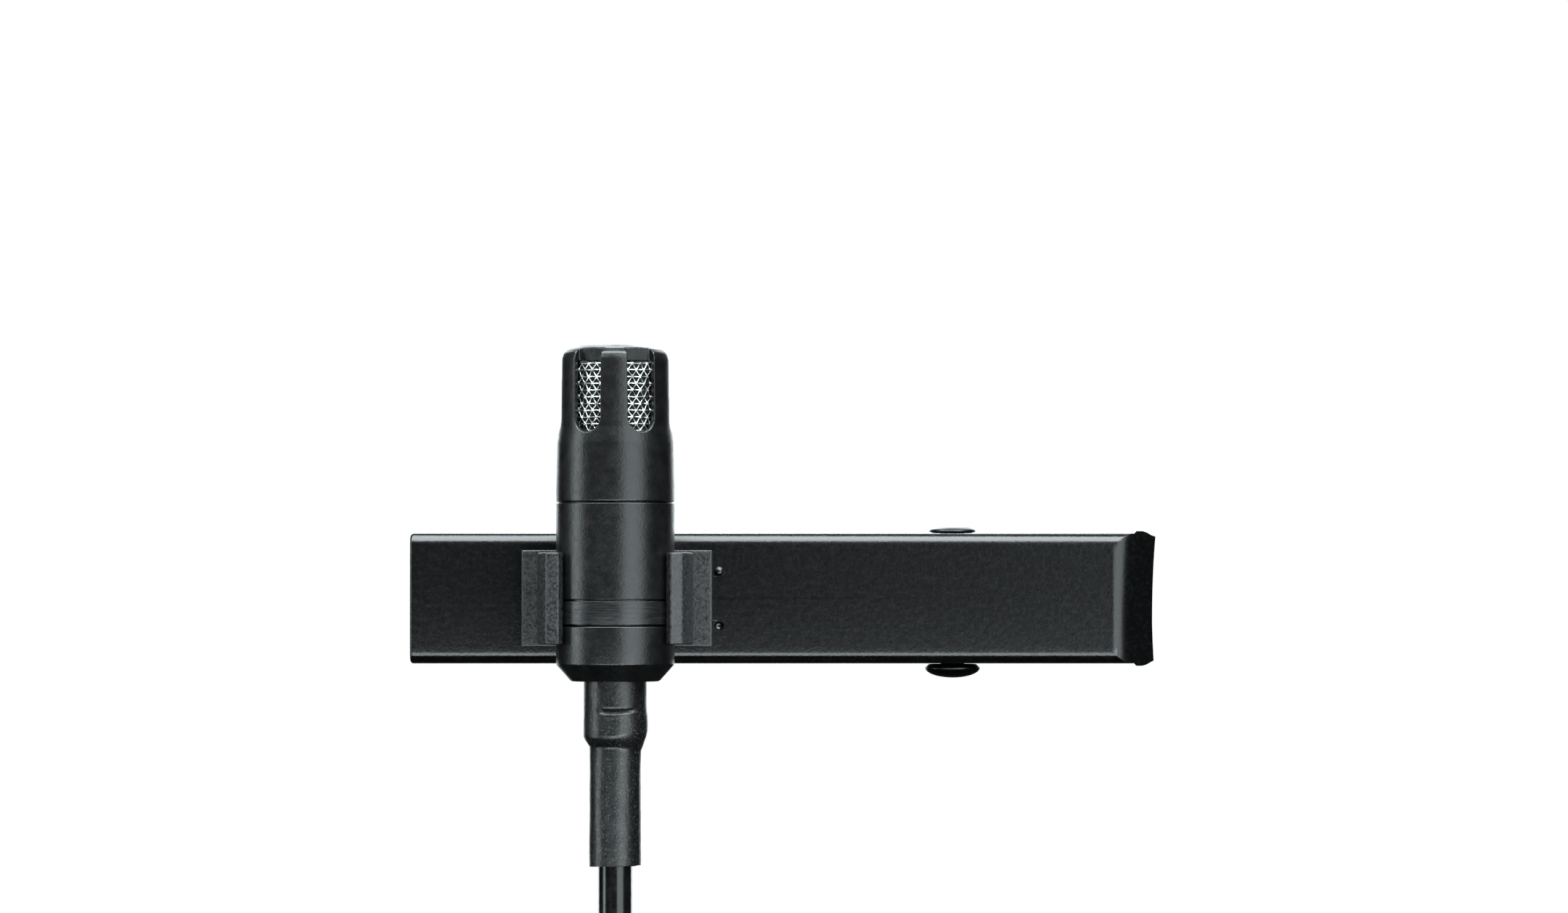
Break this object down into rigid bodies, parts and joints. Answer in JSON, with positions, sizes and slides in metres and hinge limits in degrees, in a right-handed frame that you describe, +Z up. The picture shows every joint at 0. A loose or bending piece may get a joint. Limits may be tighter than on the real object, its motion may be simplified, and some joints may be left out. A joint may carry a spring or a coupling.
{
  "type": "lavalier microphone",
  "caption": "Slim cylindrical lapel microphone with a slotted grille, held in a swivelling spring clip, with a thin coiled cable and a latching plug.",
  "frame": {"origin": "where the clip's jaws grip the garment, on the line of the rear jaw's teeth", "axes": "+X along the clip towards its finger end, +Z up along the upright microphone, -Y towards the audience"},
  "size_m": [0.0582, 0.0331, 0.1176],
  "materials": {
    "black_painted_metal": "satin",
    "black_plated_steel": "satin",
    "black_plastic": "matte",
    "mesh_silver": "bright",
    "acoustic_foam": "matte",
    "aluminium": "satin",
    "black_rubber": "matte",
    "heat_shrink": "matte",
    "cable_jacket": "satin",
    "circuit_board": "gloss",
    "spring_steel": "bright",
    "gold_plated_brass": "bright",
    "satin_nickel": "satin",
    "tie_fabric": "matte"
  },
  "bodies": {
    "microphone": {"front_cap": "black_painted_metal", "windscreen_mesh": "mesh_silver", "foam_plug": "acoustic_foam", "cartridge": "aluminium", "cartridge_seal": "black_rubber", "cartridge_board": "circuit_board", "signal_lead": "cable_jacket", "bias_lead": "cable_jacket", "body_tube": "black_painted_metal", "collar_ring": "black_painted_metal", "tail_bush": "black_painted_metal", "crimp_ferrule": "satin_nickel", "heat_shrink_boot": "heat_shrink", "cable_lead": "cable_jacket", "cable_coil": "cable_jacket", "cable_tail": "cable_jacket", "cable_tie": "tie_fabric", "plug_relief": "black_rubber", "plug_nut": "satin_nickel", "plug_shell": "satin_nickel", "plug_insert": "black_plastic", "contact_1": "gold_plated_brass", "contact_2": "gold_plated_brass", "contact_3": "gold_plated_brass", "contact_4": "gold_plated_brass", "cable_clamp": "spring_steel", "latch_spring": "spring_steel"},
    "clamp": {"holder": "black_plastic", "swivel_rivet": "satin_nickel"},
    "clip_front": {"front_jaw": "black_painted_metal", "hinge_pin": "black_plated_steel", "torsion_spring": "spring_steel", "swivel_washer": "spring_steel"},
    "clip_rear": {"rear_jaw": "black_plated_steel"},
    "latch": {"latch_button": "satin_nickel"}
  },
  "joints": [
    {"name": "microphone_turn", "type": "hinge", "parent": "microphone", "child": "clamp", "pos_m": [0.013, -0.0061, 0], "axis": [0, 0, 1], "range_deg": [-180, 180]},
    {"name": "clip_swivel", "type": "hinge", "parent": "clamp", "child": "clip_front", "pos_m": [0.013, -0.00065, 0], "axis": [0, 1, 0], "range_deg": [-90, 90]},
    {"name": "jaw_hinge", "type": "hinge", "parent": "clip_front", "child": "clip_rear", "pos_m": [0.036, 0.0026, 0], "axis": [0, 0, -1], "range_deg": [0, 22], "stiffness_Nm_per_rad": 0.05, "springref_deg": -28.65, "deforming": ["torsion_spring"]},
    {"name": "latch_press", "type": "slide", "parent": "microphone", "child": "latch", "axis": [0, 1, 0], "range_m": [0, 0.0007], "stiffness_N_per_m": 500, "springref_m": -0.0006, "deforming": ["latch_spring"]}
  ]
}
